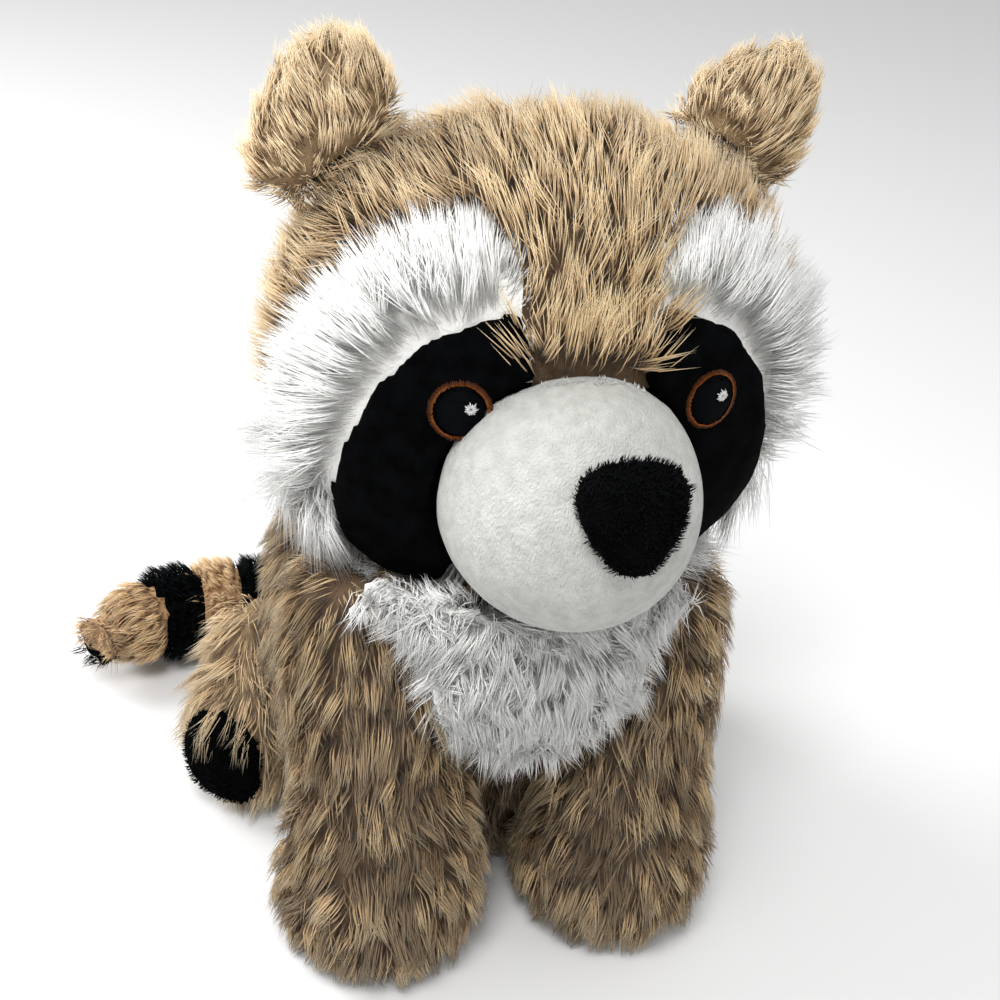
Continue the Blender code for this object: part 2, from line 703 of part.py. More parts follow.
def make_body(guides, finish):
    head_side = [guides["head_space"]] + [guides["ruff_space_" + side] for side in SIDES]
    legs = [guides[f"{part}_{side}"] for part in ("front_leg", "hind_leg") for side in SIDES]
    near = head_side + legs + [guides["bib"], guides["tail"]]
    furry = raise_locks(body_form(floor=0.0), BODY_LOCK, along(DOWN), near)
    body = sewn("body_fur", furry, finish["brown"])
    carve(body, "DIFFERENCE", [guides["body_hollow"], *head_side])
    inside = body_form(-LONG_PILE - SEAM_GAP, 3, SEAT_THICKNESS + SEAM_GAP)
    stuffing = sewn("body_stuffing", inside, finish["fibre"])
    carve(stuffing, "DIFFERENCE", head_side)
    throat = Vector((0.0, BODY_BACK_SET, BODY_HEIGHT))
    furry = raise_locks(bib_form(), BODY_LOCK, away_from(throat), head_side + [guides["muzzle"]])
    bib = sewn("chest_bib", furry, finish["white"])
    carve(bib, "INTERSECT", [guides["bib_panel"]])
    legs = [guides["front_leg_space_" + side] for side in SIDES]
    carve(bib, "DIFFERENCE", [guides["body_space"], guides["muzzle_space"], *legs, *head_side])


def make_legs(guides, finish):
    head_side = [guides["head_space"]] + [guides["ruff_space_" + side] for side in SIDES]
    inner_floor = SEAT_THICKNESS + SEAM_GAP
    for side in SIDES:
        other = "left" if side == "right" else "right"
        trims = {
            "front_leg": [guides["body_space"], *head_side],
            "hind_leg": [guides["body_space"], guides["front_leg_space_" + side]],
        }
        near = {
            "front_leg": [guides[name] for name in ("body", "bib", "front_leg_" + other, "hind_leg_" + side)],
            "hind_leg": [guides[name] for name in ("body", "front_leg_" + side, "sole_" + side, "tail")],
        }
        for part, form in (("front_leg", front_leg_form), ("hind_leg", hind_leg_form)):
            furry = raise_locks(form(side, 0.0, 0.0), BODY_LOCK, along(DOWN), near[part] + head_side)
            leg = sewn(f"{part}_{side}", furry, finish["brown"])
            carve(leg, "DIFFERENCE", [guides[f"{part}_hollow_{side}"], *trims[part]])
            filling = form(side, LONG_PILE + SEAM_GAP, inner_floor)
            stuffing = sewn(f"{part}_stuffing_{side}", filling, finish["fibre"])
            carve(stuffing, "DIFFERENCE", trims[part])
        sole = sewn("sole_" + side, sole_form(side), finish["black"])
        carve(sole, "DIFFERENCE", [guides["hind_leg_space_" + side], guides["front_leg_space_" + side]])


def make_tail(guides, finish):
    start = 0.0
    against = [guides["body_space"], guides["hind_leg_space_right"]]
    near = [guides["body"], guides["hind_leg_right"]]
    for name, length, colour in TAIL_PARTS:
        end = start + length
        stretch = (start + SEAM_GAP / 2, end - SEAM_GAP / 2)
        furry = raise_locks(tail_form(*stretch), TAIL_LOCK, along(Vector((-1.0, 0.0, 0.0))), near)
        piece = sewn(name, furry, finish[colour])
        if name != TAIL_PARTS[-1][0]:
            carve(piece, "INTERSECT", [guide("space_of_" + name, tail_form(*stretch, -2 * TAIL_LOCK[0]))])
        carve(piece, "DIFFERENCE", [guides["tail_hollow"], *against])
        start = end
    filling = tail_form(0.0, TAIL_LENGTH - TAIL_ROUNDING / 2 - SEAM_GAP, LONG_PILE + SEAM_GAP)
    stuffing = sewn("tail_stuffing", filling, finish["fibre"])
    carve(stuffing, "DIFFERENCE", against)


def build():
    clear_scene()
    finish = {
        "brown": fabric("brown long pile", (0.42, 0.30, 0.20), 0.95),
        "tan": fabric("tan tail pile", (0.50, 0.34, 0.20), 0.95),
        "white": fabric("white long pile", (0.83, 0.82, 0.79), 0.95),
        "short white": fabric("white short pile", (0.78, 0.77, 0.74), 0.90),
        "black": fabric("black short pile", (0.006, 0.006, 0.008), 0.90),
        "velvet": fabric("black velvet", (0.005, 0.005, 0.007), 0.85),
        "copper": fabric("copper thread", (0.22, 0.05, 0.012), 0.40),
        "thread": fabric("black thread", (0.008, 0.007, 0.007), 0.45),
        "white thread": fabric("white thread", (0.75, 0.76, 0.78), 0.50),
        "fibre": fabric("polyester fibre", (0.85, 0.85, 0.83), 1.00),
    }
    guides = make_guides()
    make_head(guides, finish)
    make_muzzle(guides, finish)
    make_eyes(guides, finish)
    make_ears(guides, finish)
    make_body(guides, finish)
    make_legs(guides, finish)
    make_tail(guides, finish)


build()
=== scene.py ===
"""A seated plush raccoon: long pile over a sewn backing, short-pile face panels, stitched eyes."""

import math

import bmesh
import bpy
import numpy as np
from mathutils import Matrix, Vector, kdtree
from mathutils.bvhtree import BVHTree


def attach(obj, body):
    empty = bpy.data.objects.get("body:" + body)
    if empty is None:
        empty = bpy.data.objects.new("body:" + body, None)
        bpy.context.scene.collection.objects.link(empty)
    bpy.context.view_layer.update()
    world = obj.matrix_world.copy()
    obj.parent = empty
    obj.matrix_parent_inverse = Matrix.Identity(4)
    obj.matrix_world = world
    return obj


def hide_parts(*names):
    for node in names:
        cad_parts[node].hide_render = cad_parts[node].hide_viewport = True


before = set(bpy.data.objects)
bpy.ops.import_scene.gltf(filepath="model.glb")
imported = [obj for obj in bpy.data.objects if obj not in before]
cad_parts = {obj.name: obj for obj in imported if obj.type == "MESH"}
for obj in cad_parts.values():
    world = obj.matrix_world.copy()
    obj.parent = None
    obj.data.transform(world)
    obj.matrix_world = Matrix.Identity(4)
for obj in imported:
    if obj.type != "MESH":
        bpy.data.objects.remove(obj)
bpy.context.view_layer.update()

# Camera: a little above the toy's head and to its right, close enough to make the face larger than the
# feet, and rolled as a hand holds it.
CAMERA_TARGET = Vector((0.005, -0.010, 0.146))
CAMERA_AZIMUTH = math.radians(-19)
CAMERA_ELEVATION = math.radians(30)
CAMERA_DISTANCE = 0.54
CAMERA_ROLL = math.radians(6)
CAMERA_ANGLE = math.radians(36.5)

level = math.cos(CAMERA_ELEVATION)
camera_back = Vector(
    (math.sin(CAMERA_AZIMUTH) * level, -math.cos(CAMERA_AZIMUTH) * level, math.sin(CAMERA_ELEVATION))
)
camera_right = Vector((math.cos(CAMERA_AZIMUTH), math.sin(CAMERA_AZIMUTH), 0.0))
camera_up = camera_back.cross(camera_right)
rolled_right = camera_right * math.cos(CAMERA_ROLL) + camera_up * math.sin(CAMERA_ROLL)
rolled_up = camera_up * math.cos(CAMERA_ROLL) - camera_right * math.sin(CAMERA_ROLL)
camera_data = bpy.data.cameras.new("camera")
camera_data.angle = CAMERA_ANGLE
camera = bpy.data.objects.new("camera", camera_data)
camera.matrix_world = Matrix.Translation(CAMERA_TARGET + camera_back * CAMERA_DISTANCE) @ Matrix(
    (rolled_right, rolled_up, camera_back)
).transposed().to_4x4()
bpy.context.scene.collection.objects.link(camera)
bpy.context.scene.camera = camera
bpy.context.scene.view_settings.view_transform = "Standard"

# Floor and light: a pale sheet under the toy, a broad soft lamp above it, one at its right side, a weaker
# one at its left, and an even pale sky all round.
FLOOR_COLOUR = (0.72, 0.72, 0.72)
FLOOR_REACH = 6.0
BACKGROUND_COLOUR = (0.896, 0.896, 0.896)
SKY_STRENGTH = 0.66
# Each lamp's place, width in metres and power in watts.
LAMPS = [
    ("key lamp", (-0.45, -0.70, 1.55), 0.7, 21.0),
    ("fill lamp", (1.10, -0.90, 0.90), 0.9, 1.2),
    ("side lamp", (-1.05, 0.60, 0.95), 0.7, 17.0),
]


def link(tree, *ends):
    """Joins output sockets to input sockets in pairs."""
    for output, socket in zip(ends[::2], ends[1::2]):
        tree.links.new(output, socket)


def add(tree, kind, **settings):
    """A new node with its settings: its own properties by name, and its inputs by their labels."""
    node = tree.nodes.new(kind)
    inputs = settings.pop("inputs", {})
    for name, value in settings.items():
        setattr(node, name, value)
    for name, value in inputs.items():
        node.inputs[name].default_value = value
    return node


floor_mesh = bpy.data.meshes.new("floor")
shape = bmesh.new()
bmesh.ops.create_grid(shape, x_segments=1, y_segments=1, size=FLOOR_REACH)
shape.to_mesh(floor_mesh)
shape.free()
floor = bpy.data.objects.new("floor", floor_mesh)
bpy.context.scene.collection.objects.link(floor)
floor_finish = bpy.data.materials.new("pale floor")
floor_finish.use_nodes = True
floor_shader = floor_finish.node_tree.nodes["Principled BSDF"]
floor_shader.inputs["Base Color"].default_value = (*FLOOR_COLOUR, 1.0)
floor_shader.inputs["Roughness"].default_value = 0.9
floor_shader.inputs["Specular IOR Level"].default_value = 0.0
floor_mesh.materials.append(floor_finish)

world = bpy.data.worlds.new("pale sky")
world.use_nodes = True
bpy.context.scene.world = world
sky = world.node_tree
sky.nodes.clear()
rays = add(sky, "ShaderNodeLightPath")
seen = add(sky, "ShaderNodeMath", operation="MAXIMUM")
seen_through = add(sky, "ShaderNodeMath", operation="MAXIMUM")
daylight = add(sky, "ShaderNodeBackground", inputs={"Color": (1.0, 1.0, 1.0, 1.0), "Strength": SKY_STRENGTH})
backdrop = add(sky, "ShaderNodeBackground", inputs={"Color": (*BACKGROUND_COLOUR, 1.0), "Strength": 1.0})
either = add(sky, "ShaderNodeMixShader")
sky_output = add(sky, "ShaderNodeOutputWorld")
link(sky, rays.outputs["Is Camera Ray"], seen.inputs[0], rays.outputs["Is Glossy Ray"], seen.inputs[1])
link(sky, seen.outputs[0], seen_through.inputs[0])
link(sky, rays.outputs["Is Transmission Ray"], seen_through.inputs[1])
link(sky, seen_through.outputs[0], either.inputs[0], daylight.outputs[0], either.inputs[1])
link(sky, backdrop.outputs[0], either.inputs[2], either.outputs[0], sky_output.inputs[0])

for lamp_name, spot, size, power in LAMPS:
    lamp_data = bpy.data.lights.new(lamp_name, "AREA")
    lamp_data.shape = "DISK"
    lamp_data.size = size
    lamp_data.energy = power
    lamp = bpy.data.objects.new(lamp_name, lamp_data)
    lamp.location = spot
    lamp.rotation_euler = (CAMERA_TARGET - Vector(spot)).to_track_quat("-Z", "Y").to_euler()
    bpy.context.scene.collection.objects.link(lamp)

# Body: a rounded sack of brown long-pile fabric, filled firmly and flat where it sits. The pile stands on
# a woven backing, leans down the body and gathers into pointed locks.
CLOTH_STEP = 0.0034
CLOTH_THICKNESS = 0.0015
CLOTH_ROUGHNESS = 0.95
BODY_ROOT_SPACING = 0.00168
FLOOR_CLEARANCE = 0.004
# The dark root is partly the fibres' own darker root and partly painted shade down among the locks.
BROWN_PILE = {
    "root": (0.085, 0.050, 0.027),
    "middle": (0.560, 0.385, 0.205),
    "tip": (0.960, 0.780, 0.480),
    "shade": (0.30, 0.27, 0.24),
}
# The same brown fabric painted paler for the haunches and ears: painted light, as they are lit more than the
# body and legs.
LIT_BROWN_PILE = {
    "root": (0.200, 0.130, 0.070),
    "middle": (0.680, 0.490, 0.280),
    "tip": (0.970, 0.820, 0.560),
    "shade": (0.60, 0.55, 0.50),
}
# How a kind of pile grows. Lengths are in metres. The rest are shares: how steeply fibres rise and bow,
# how far they stray from their lie and lean into locks, how pale they are, and how much of one stays. The
# tone also paints light and shade on whole pieces: a low tone is painted shade, a high one painted light.
BODY_PILE = {
    "length": 0.020,
    "width": 0.00050,
    "spacing": 0.00137,
    "lock": 0.0050,
    "rise": (0.66, 1.08),
    "bow": 0.45,
    "stray": 0.28,
    "pull": (0.30, 0.80),
    # A low tone darkens this pile towards its shade colour: painted shade on the body and front legs.
    "tone": 0.42,
    "patchy": 0.32,
    "hang": 0.0,
    "least": 0.15,
    "loose": 0.0022,
    "outside": 1.0,
    "laps": ("",),
}
DOWNWARD = (0, 0, -1)
HAIR_MIDDLE = 0.42
HAIR_FLATNESS = 0.7
MERGE_DISTANCE = 1e-5
PAST_FACE = 1e-5
# How the lie drifts over the cloth, how far locks and single fibres differ, and how each one ends.
DRIFT = 0.55
DRIFT_PITCH = 0.030
DRIFT_SEED = 11
LOCK_LENGTHS = (0.85, 1.12)
OWN_LENGTHS = (0.80, 1.05)
OWN_RISES = (0.85, 1.04)
OWN_WIDTHS = (0.75, 1.25)
OWN_STRAY = 0.45
OWN_TONE = 0.13
STEEPEST = 0.92
LOCK_CURVE = 1.3
TIP_OVERLAP = 0.05
SHORTEST = 0.3
ROOT_SINK = 0.0010
FLOOR_GAP = 0.0004
FLOOR_SCATTER = 0.0016
STREAK = 0.010
TONE_ENDS = (0.02, 0.98)
rng = np.random.default_rng(7)


def new_piece(name, mesh, material, nodes):
    """Puts a mesh in the scene as a piece of the toy that stands for CAD nodes."""
    piece = bpy.data.objects.new(name, mesh)
    bpy.context.scene.collection.objects.link(piece)
    mesh.materials.clear()
    mesh.materials.append(material)
    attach(piece, "root")
    if nodes:
        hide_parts(*nodes)
    return piece


def backing(name, nodes, swell, rounds=12, step=CLOTH_STEP):
    """Cloth over CAD solids: joined, made into an even net, rounded off and moved out along its normals."""
    shape = bmesh.new()
    for node in nodes:
        shape.from_mesh(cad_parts[node].data)
    bmesh.ops.remove_doubles(shape, verts=shape.verts, dist=MERGE_DISTANCE)
    mesh = bpy.data.meshes.new(name)
    shape.to_mesh(mesh)
    shape.free()
    former = bpy.data.objects.new(name + "_former", mesh)
    bpy.context.scene.collection.objects.link(former)
    net = former.modifiers.new("even net", "REMESH")
    net.mode = "VOXEL"
    net.voxel_size = step
    rounding = former.modifiers.new("rounding", "SMOOTH")
    rounding.factor = 0.5
    rounding.iterations = rounds
    outward = former.modifiers.new("thickness", "DISPLACE")
    outward.strength = swell
    outward.mid_level = 0.0
    graph = bpy.context.evaluated_depsgraph_get()
    cloth = bpy.data.meshes.new_from_object(former.evaluated_get(graph))
    bpy.data.objects.remove(former)
    bpy.data.meshes.remove(mesh)
    cloth.name = name
    cloth.shade_smooth()
    return cloth


def numbers(items, key, width):
    """One property of every item of a mesh, as rows of that width."""
    found = np.empty(len(items) * width, np.float32)
    items.foreach_get(key, found)
    return found.reshape(-1, width)


def roots_on(mesh, spacing):
    """Places spread at random over a mesh, one to each square of the spacing, with their normals."""
    mesh.calc_loop_triangles()
    corners = np.empty(len(mesh.loop_triangles) * 3, np.int32)
    mesh.loop_triangles.foreach_get("vertices", corners)
    corners = corners.reshape(-1, 3)
    places = numbers(mesh.vertices, "co", 3)
    normals = numbers(mesh.vertex_normals, "vector", 3)
    a, b, c = (places[corners[:, k]] for k in range(3))
    area = np.linalg.norm(np.cross(b - a, c - a), axis=1) / 2
    count = int(area.sum() / spacing**2)
    face = rng.choice(len(area), count, p=area / area.sum())
    share = rng.random((count, 2))
    over = share.sum(1) > 1
    share[over] = 1 - share[over]
    weights = np.column_stack([1 - share.sum(1), share])[:, :, None]
    place = (places[corners[face]] * weights).sum(1)
    normal = (normals[corners[face]] * weights).sum(1)
    return place, unit(normal)


def unit(vectors):
    """The vectors brought to a length of one."""
    return vectors / np.maximum(np.linalg.norm(vectors, axis=-1, keepdims=True), 1e-9)


# A direction askew to all three axes, for the ray that tells the inside of a solid from the outside.
OUT_OF_DOORS = Vector((0.27, 0.53, 0.80))
solid_trees = {}


def solid_tree(node):
    """A search tree over the faces of a CAD solid."""
    if node not in solid_trees:
        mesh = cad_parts[node].data
        corners = [vertex.co for vertex in mesh.vertices]
        solid_trees[node] = BVHTree.FromPolygons(corners, [tuple(face.vertices) for face in mesh.polygons])
    return solid_trees[node]


def depth_in(node, places):
    """How far each place is outside a CAD solid, and below nought inside it."""
    tree = solid_tree(node)
    found = np.empty(len(places))
    for index, place in enumerate(places):
        spot = Vector(place)
        leaving = tree.ray_cast(spot, OUT_OF_DOORS)[1]
        distance = tree.find_nearest(spot)[3]
        found[index] = -distance if leaving is not None and leaving.dot(OUT_OF_DOORS) > 0 else distance
    return found


def way_out(tree, start, way):
    """How far a ray goes before it leaves a solid that it starts in or just under, and None if it misses."""
    spot, gone = Vector(start), 0.0
    for _ in range(3):
        place, face_way, _, reach = tree.ray_cast(spot, way)
        if place is None:
            return None
        gone += reach
        if face_way.dot(way) > 0:
            return gone
        spot = place + way * PAST_FACE
    return None


def clear_of(places, nodes, room=0.0):
    """Which places no other CAD solid covers."""
    clear = np.ones(len(places), bool)
    for node in nodes:
        clear &= depth_in(node, places) > room
    return clear


def hair_form():
    """One fibre: three-sided, thickest a little below its middle, and pointed at both ends."""
    shape = bmesh.new()
    bmesh.ops.create_cone(
        shape, cap_ends=True, cap_tris=True, segments=3, radius1=1.0, radius2=0.0, depth=1.0 - HAIR_MIDDLE
    )
    bmesh.ops.translate(shape, vec=(0.0, 0.0, (1.0 + HAIR_MIDDLE) / 2), verts=shape.verts)
    # The middle of the cone's base is drawn down to make the root, and its point stays at the tip.
    for vertex in shape.verts:
        if vertex.co.xy.length < 0.5:
            vertex.co.z = round(vertex.co.z - 0.2)
    bmesh.ops.recalc_face_normals(shape, faces=shape.faces)
    corners = np.array([vertex.co for vertex in shape.verts])
    faces = [[vertex.index for vertex in face.verts] for face in shape.faces]
    shape.free()
    return corners, faces


def waves(places, pitch, seed):
    """A smooth random vector at each place, which changes over about the pitch."""
    local = np.random.default_rng(seed)
    found = np.zeros((len(places), 3))
    for _ in range(5):
        way = unit(local.normal(size=3)) * 2 * math.pi / (pitch * local.uniform(0.7, 1.6))
        found += local.normal(size=3) * np.sin(places @ way + local.uniform(0, 2 * math.pi))[:, None]
    return found / math.sqrt(5)


def lying(way):
    """Pile that lies one way."""
    return lambda places: np.tile(np.array(way, float), (len(places), 1))


def cut_to_form(home, roots, tips, kind):
    """How much of each fibre stays: its tip ends near its solid's surface, or laps over the next one."""
    stays = np.ones(len(roots))
    leaves = np.array(tips)
    outer = solid_tree(home)
    for index, (root, tip) in enumerate(zip(roots, tips)):
        way = Vector(tip - root)
        reach = way_out(outer, root, way.normalized())
        if reach is None:
            stays[index] = kind["outside"]
        elif reach < way.length:
            stays[index] = reach / way.length
            leaves[index] = root + (tip - root) * (stays[index] + TIP_OVERLAP)
    over = (stays < 1) & (stays != kind["outside"])
    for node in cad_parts:
        corners = numbers(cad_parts[node].data.vertices, "co", 3)
        near = np.flatnonzero(over & ((leaves > corners.min(0)) & (leaves < corners.max(0))).all(1))
        if node != home and node.startswith(kind["laps"]) and len(near):
            over[near[depth_in(node, leaves[near]) < 0]] = False
    stays[~over & (stays != kind["outside"])] = 1
    droop = np.clip((roots - tips)[:, 2] / np.linalg.norm(tips - roots, axis=1), 0.0, 1.0)
    loose = rng.uniform(0.0, kind["loose"] + kind["hang"] * droop) / np.linalg.norm(tips - roots, axis=1)
    return np.clip(stays + loose, SHORTEST, 1.0)[:, None, None]


def pile(name, place, normal, lie, kind, material, home, stands_in=True):
    """Grows fibres from their roots to their solid's surface. Those of a lock lean together near its tip."""
    count = len(place)
    room = np.zeros((count, 1))
    outer = solid_tree(home)
    for index in range(count):
        room[index] = way_out(outer, place[index], Vector(normal[index])) or 0.0
    flow = lie(place) + DRIFT * kind["stray"] * waves(place, DRIFT_PITCH, DRIFT_SEED)
    flow = unit(flow - normal * (flow * normal).sum(1, keepdims=True))
    picked = rng.choice(count, max(1, int(count * (kind["spacing"] / kind["lock"]) ** 2)), replace=False)
    tree = kdtree.KDTree(len(picked))
    for number, index in enumerate(picked):
        tree.insert(place[index], number)
    tree.balance()
    lock = np.array([tree.find(spot)[1] for spot in place])
    lock_stray = rng.normal(size=(len(picked), 3)) * kind["stray"]
    lock_length = kind["length"] * rng.uniform(*LOCK_LENGTHS, (len(picked), 1))
    lock_rise = rng.uniform(*kind["rise"], (len(picked), 1))
    lock_tone = rng.normal(size=len(picked)) * kind["patchy"]
    pull = rng.uniform(*kind["pull"], count)[:, None]

    def curve_at(index, stray, length, rise, share):
        """A place along a fibre, which sets out steeply and bows over to its tip."""
        up = np.clip(room[index] * rise, kind["least"] * length, STEEPEST * length)
        along = np.sqrt(length**2 - up**2)
        chord = normal[index] * up + unit(flow[index] + stray) * along
        bow = normal[index] * length * kind["bow"]
        return place[index] + chord * share + bow * share * (1 - share)

    own_stray = lock_stray[lock] + rng.normal(size=(count, 3)) * kind["stray"] * OWN_STRAY
    own_length = lock_length[lock] * rng.uniform(*OWN_LENGTHS, (count, 1))
    own_rise = lock_rise[lock] * rng.uniform(*OWN_RISES, (count, 1))
    corners, faces = hair_form()
    stations = np.unique(corners[:, 2].round(4))
    rings = []
    for share in stations:
        own = curve_at(np.arange(count), own_stray, own_length, own_rise, share)
        shared = curve_at(picked[lock], lock_stray[lock], lock_length[lock], lock_rise[lock], share)
        rings.append(own + (shared - own) * pull * share**LOCK_CURVE)
    rings = np.stack(rings, 1)
    rings = place[:, None] + (rings - place[:, None]) * cut_to_form(home, place, rings[:, -1], kind)
    rings[:, 0] -= normal * ROOT_SINK
    tangent = unit(np.gradient(rings, axis=1))
    side = unit(np.cross(tangent, normal[:, None, :]))
    rise = np.cross(side, tangent)
    station = np.searchsorted(stations, corners[:, 2].round(4))
    thickness = kind["width"] / 2 * rng.uniform(*OWN_WIDTHS, (count, 1, 1))
    across = side[:, station] * corners[None, :, 0, None]
    above = rise[:, station] * corners[None, :, 1, None] * HAIR_FLATNESS
    points = rings[:, station] + thickness * (across + above)
    points[:, :, 2] = np.maximum(points[:, :, 2], FLOOR_GAP + FLOOR_SCATTER * rng.random((count, 1)))
    tone = np.clip(kind["tone"] + lock_tone[lock] + rng.normal(size=count) * OWN_TONE, *TONE_ENDS)
    write_pile(name, points, corners, faces, tone, material, [home] if stands_in else [])


def write_pile(name, points, corners, faces, tone, material, nodes):
    """One mesh of all the fibres, with a map of how far along a fibre, and of what tone, each point is."""
    count, each = points.shape[:2]
    starts = np.cumsum([0] + [len(face) for face in faces])
    loop = np.concatenate(faces)
    loops = (loop[None, :] + each * np.arange(count)[:, None]).ravel()
    first = (starts[:-1][None, :] + starts[-1] * np.arange(count)[:, None]).ravel()
    mesh = bpy.data.meshes.new(name)
    mesh.vertices.add(count * each)
    mesh.vertices.foreach_set("co", points.astype(np.float32).ravel())
    mesh.loops.add(len(loops))
    mesh.loops.foreach_set("vertex_index", loops.astype(np.int32))
    mesh.polygons.add(len(first))
    mesh.polygons.foreach_set("loop_start", first.astype(np.int32))
    mesh.update(calc_edges=True)
    off_axis = np.hypot(corners[:, 0], corners[:, 1]) > 0.5
    across = np.arctan2(corners[:, 1], corners[:, 0]) / math.pi * off_axis
    along = np.tile(corners[loop, 2], count)
    over = (tone[:, None] + STREAK * across[loop][None, :]).ravel()
    places = np.column_stack([along * 0.98 + 0.01, np.clip(over, 0.002, 0.998)])
    places = places.astype(np.float32).ravel()
    for map_name in ("fibre", "OFBake"):
        mesh.uv_layers.new(name=map_name).uv.foreach_set("vector", places)
    mesh.shade_smooth()
    new_piece(name, mesh, material, nodes)


def pile_finish(name, colours, roughness=0.72, gloss=0.25, sheen=0.15, glow=0.0):
    """Fibres that pass from a dark root to a pale tip, each of its own tone and streaked."""
    material = bpy.data.materials.new(name)
    material.use_nodes = True
    tree = material.node_tree
    shader = tree.nodes["Principled BSDF"]
    shader.inputs["Roughness"].default_value = roughness
    shader.inputs["Specular IOR Level"].default_value = gloss
    shader.inputs["Sheen Weight"].default_value = sheen
    shader.inputs["Subsurface Weight"].default_value = glow
    shader.inputs["Subsurface Radius"].default_value = (1.0, 1.0, 1.0)
    shader.inputs["Subsurface Scale"].default_value = 0.001
    shader.inputs["Sheen Roughness"].default_value = 0.5
    place = add(tree, "ShaderNodeUVMap", uv_map="fibre")
    parts = add(tree, "ShaderNodeSeparateXYZ")
    along = add(tree, "ShaderNodeValToRGB")
    along.color_ramp.elements[0].position = 0.05
    along.color_ramp.elements[0].color = (*colours["root"], 1.0)
    along.color_ramp.elements[1].position = 0.95
    along.color_ramp.elements[1].color = (*colours["tip"], 1.0)
    middle = along.color_ramp.elements.new(0.5)
    middle.color = (*colours["middle"], 1.0)
    # A low tone darkens a fibre towards the shade colour: tone that differs at random, and painted shade
    # where a whole kind of pile is set low.
    between = add(tree, "ShaderNodeValToRGB")
    between.color_ramp.elements[0].position = 0.15
    between.color_ramp.elements[0].color = (*colours["shade"], 1.0)
    between.color_ramp.elements[1].position = 0.85
    between.color_ramp.elements[1].color = (1.0, 1.0, 1.0, 1.0)
    stretch = add(tree, "ShaderNodeMapping", inputs={"Scale": (3.0, 260.0, 1.0)})
    streaks = add(tree, "ShaderNodeTexNoise", inputs={"Scale": 1.0, "Detail": 2.0})
    faint = add(
        tree, "ShaderNodeMapRange",
        inputs={"From Min": 0.3, "From Max": 0.7, "To Min": 0.78, "To Max": 1.08},
    )
    tinted = add(tree, "ShaderNodeMix", data_type="RGBA", blend_type="MULTIPLY", inputs={"Factor": 1.0})
    streaked = add(tree, "ShaderNodeMix", data_type="RGBA", blend_type="MULTIPLY", inputs={"Factor": 1.0})
    link(tree, place.outputs[0], parts.inputs[0], parts.outputs["X"], along.inputs[0])
    link(tree, parts.outputs["Y"], between.inputs[0], place.outputs[0], stretch.inputs["Vector"])
    link(tree, stretch.outputs[0], streaks.inputs["Vector"], streaks.outputs["Fac"], faint.inputs["Value"])
    link(tree, along.outputs[0], tinted.inputs["A"], between.outputs[0], tinted.inputs["B"])
    link(tree, tinted.outputs["Result"], streaked.inputs["A"], faint.outputs[0], streaked.inputs["B"])
    link(tree, streaked.outputs["Result"], shader.inputs["Base Color"])
    return material


def cloth_finish(name, dark, pale, bump=0.0006, grain=900.0, gloss=0.2, nap=(1.0, 1.0, 1.0)):
    """Matted pile or woven backing, mottled in two tones, with a fine rough surface brushed one way."""
    material = bpy.data.materials.new(name)
    material.use_nodes = True
    tree = material.node_tree
    shader = tree.nodes["Principled BSDF"]
    shader.inputs["Roughness"].default_value = CLOTH_ROUGHNESS
    shader.inputs["Specular IOR Level"].default_value = gloss
    place = add(tree, "ShaderNodeTexCoord")
    coarse = add(tree, "ShaderNodeTexNoise", inputs={"Scale": grain / 6, "Detail": 3.0})
    fine = add(tree, "ShaderNodeTexNoise", inputs={"Scale": grain, "Detail": 2.0, "Roughness": 0.7})
    tones = add(tree, "ShaderNodeValToRGB")
    tones.color_ramp.elements[0].position = 0.35
    tones.color_ramp.elements[0].color = (*dark, 1.0)
    tones.color_ramp.elements[1].position = 0.65
    tones.color_ramp.elements[1].color = (*pale, 1.0)
    relief = add(tree, "ShaderNodeBump", inputs={"Strength": 0.8, "Distance": bump})
    brushed = add(tree, "ShaderNodeMapping", inputs={"Scale": nap})
    link(tree, place.outputs["Object"], coarse.inputs["Vector"])
    link(tree, place.outputs["Object"], brushed.inputs["Vector"])
    link(tree, brushed.outputs[0], fine.inputs["Vector"])
    link(tree, coarse.outputs["Fac"], tones.inputs[0], tones.outputs[0], shader.inputs["Base Color"])
    link(tree, fine.outputs["Fac"], relief.inputs["Height"], relief.outputs[0], shader.inputs["Normal"])
    return material


brown_pile = pile_finish("brown long pile", BROWN_PILE)
# The brown backing is painted dark: painted shade down among the roots where the cloth shows between locks.
brown_cloth = cloth_finish("brown matted pile", (0.060, 0.038, 0.023), (0.120, 0.078, 0.046))
lit_brown_pile = pile_finish("lit brown long pile", LIT_BROWN_PILE)
# The brown backing painted paler for the haunches and ears: painted light.
lit_brown_cloth = cloth_finish("lit brown matted pile", (0.240, 0.165, 0.092), (0.360, 0.255, 0.145))

body_cloth = backing("body_backing", ["body_stuffing"], CLOTH_THICKNESS)
body_skin = new_piece("body_backing", body_cloth, brown_cloth, ["body_stuffing"])
place, normal = roots_on(body_cloth, BODY_ROOT_SPACING)
kept = place[:, 2] > FLOOR_CLEARANCE
place, normal = place[kept], normal[kept]
others = [
    "head_stuffing", "front_leg_stuffing_right", "front_leg_stuffing_left", "hind_leg_stuffing_right",
    "hind_leg_stuffing_left", "tail_stuffing",
]
kept = clear_of(place, others)
pile(
    "body_fur_pile", place[kept], normal[kept], lying(DOWNWARD), BODY_PILE, brown_pile,
    "body_fur",
)

